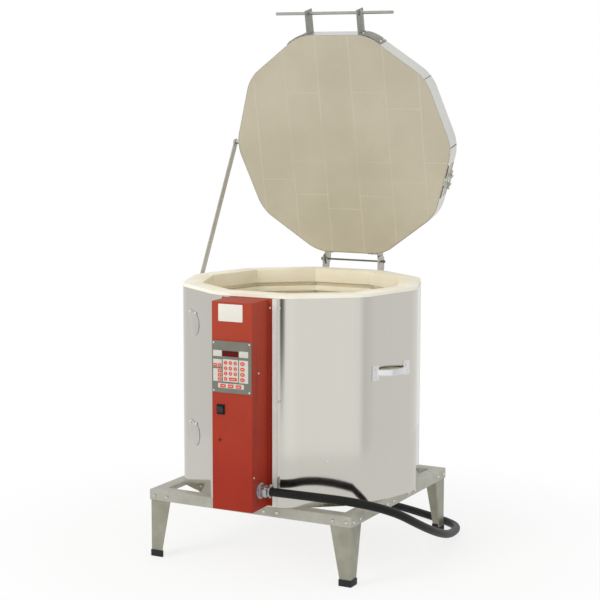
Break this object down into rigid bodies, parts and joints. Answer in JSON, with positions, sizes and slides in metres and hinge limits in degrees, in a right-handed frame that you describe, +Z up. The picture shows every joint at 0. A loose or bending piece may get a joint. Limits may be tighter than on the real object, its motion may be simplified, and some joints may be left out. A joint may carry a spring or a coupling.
{
  "type": "ceramic kiln",
  "caption": "Ten-sided top-loading ceramic kiln on a low steel stand, brick lid propped open, tall control box with keypad, side handles and a heavy power cord.",
  "frame": {"origin": "on the floor under the upright axis of the ten-sided body, midway between its sides", "axes": "+Z up, -Y towards the control box, +X to the right of someone facing the control box; the lid hinge runs along X at the rear"},
  "size_m": [0.8627, 1.0435, 1.664],
  "materials": {
    "stand_steel": "satin grey",
    "foot_rubber": "matt",
    "bolt_zinc": "zinc",
    "firebrick": "porous matt",
    "lid_brick": "porous matt, coated",
    "heating_wire": "oxidised",
    "jacket_steel": "bright rolled stainless",
    "band_steel": "bright",
    "screw_steel": "plain",
    "bracket_steel": "satin",
    "bar_steel": "bright",
    "chrome": "polished",
    "red_paint": "satin red",
    "keypad_film": "smooth film",
    "display_glass": "dark red window",
    "key_red": "printed film",
    "plate_pale": "plain plate",
    "black_plastic": "moulded",
    "rocker_black": "moulded",
    "board_green": "solder mask",
    "transformer_iron": "laminated",
    "thermo_ceramic": "fired",
    "zinc_cast": "cast zinc",
    "cord_rubber": "matt"
  },
  "bodies": {
    "kiln": {"front_rail": "stand_steel", "right_rail": "stand_steel", "rear_rail": "stand_steel", "left_rail": "stand_steel", "leg_front_right": "stand_steel", "leg_rear_right": "stand_steel", "leg_rear_left": "stand_steel", "leg_front_left": "stand_steel", "corner_braces": "stand_steel", "foot_caps": "foot_rubber", "stand_bolts": "bolt_zinc", "floor_slab": "firebrick", "brick_row_1": "firebrick", "brick_row_2": "firebrick", "brick_row_3": "firebrick", "brick_row_4": "firebrick", "brick_row_5": "firebrick", "element_1": "heating_wire", "element_2": "heating_wire", "element_3": "heating_wire", "element_4": "heating_wire", "element_5": "heating_wire", "jacket": "jacket_steel", "jacket_screws": "screw_steel", "peephole_screws": "screw_steel", "box_screws": "screw_steel", "hinge_bracket_left": "bracket_steel", "hinge_bracket_right": "bracket_steel", "hinge_rod": "bracket_steel", "prop_keeper": "bracket_steel", "side_handle_right": "chrome", "side_handle_left": "chrome", "control_cover": "red_paint", "keypad_panel": "keypad_film", "display_window": "display_glass", "keys": "key_red", "label_plate": "plate_pale", "rocker_bezel": "black_plastic", "relays": "black_plastic", "control_board": "board_green", "transformer": "transformer_iron", "thermocouple": "thermo_ceramic", "cord_gland": "zinc_cast", "power_cord": "cord_rubber", "plug": "cord_rubber"},
    "lid": {"lid_slab": "lid_brick", "lid_band": "band_steel", "band_clamp": "bracket_steel", "lid_ear_left": "bracket_steel", "lid_ear_right": "bracket_steel", "lid_handle_left": "bracket_steel", "lid_handle_right": "bracket_steel", "prop_bolt": "bracket_steel", "lid_bolts": "screw_steel"},
    "handle_bar": {"handle_bar": "bar_steel", "bar_rings": "bar_steel"},
    "prop_arm": {"prop_arm": "bar_steel"},
    "rocker_switch": {"rocker_switch": "rocker_black"},
    "peephole_cover_upper": {"peephole_cover_upper": "jacket_steel"},
    "peephole_cover_lower": {"peephole_cover_lower": "jacket_steel"}
  },
  "joints": [
    {"name": "lid_hinge", "type": "hinge", "parent": "kiln", "child": "lid", "pos_m": [0, 0.39, 0.8535], "axis": [1, 0, 0], "range_deg": [0, 77.6]},
    {"name": "prop_pivot", "type": "hinge", "parent": "lid", "child": "prop_arm", "pos_m": [-0.389, 0.30268, 1.23669], "axis": [1, 0, 0], "range_deg": [-42, 0]},
    {"name": "handle_bar_spin", "type": "hinge", "parent": "lid", "child": "handle_bar", "pos_m": [0, 0.22162, 1.64726], "axis": [1, 0, 0], "continuous": true},
    {"name": "rocker_tilt", "type": "hinge", "parent": "kiln", "child": "rocker_switch", "pos_m": [-0.045, -0.4555, 0.5055], "axis": [1, 0, 0], "range_deg": [-14, 0]},
    {"name": "upper_cover_swing", "type": "hinge", "parent": "kiln", "child": "peephole_cover_upper", "pos_m": [-0.25066, -0.26164, 0.7496], "axis": [-0.5878, -0.809, 0], "range_deg": [-75, 0]},
    {"name": "lower_cover_swing", "type": "hinge", "parent": "kiln", "child": "peephole_cover_lower", "pos_m": [-0.25066, -0.26164, 0.4136], "axis": [-0.5878, -0.809, 0], "range_deg": [-75, 0]}
  ],
  "couplings": [
    {"joint": "prop_pivot", "follows": "lid_hinge", "ratio": -0.52}
  ]
}
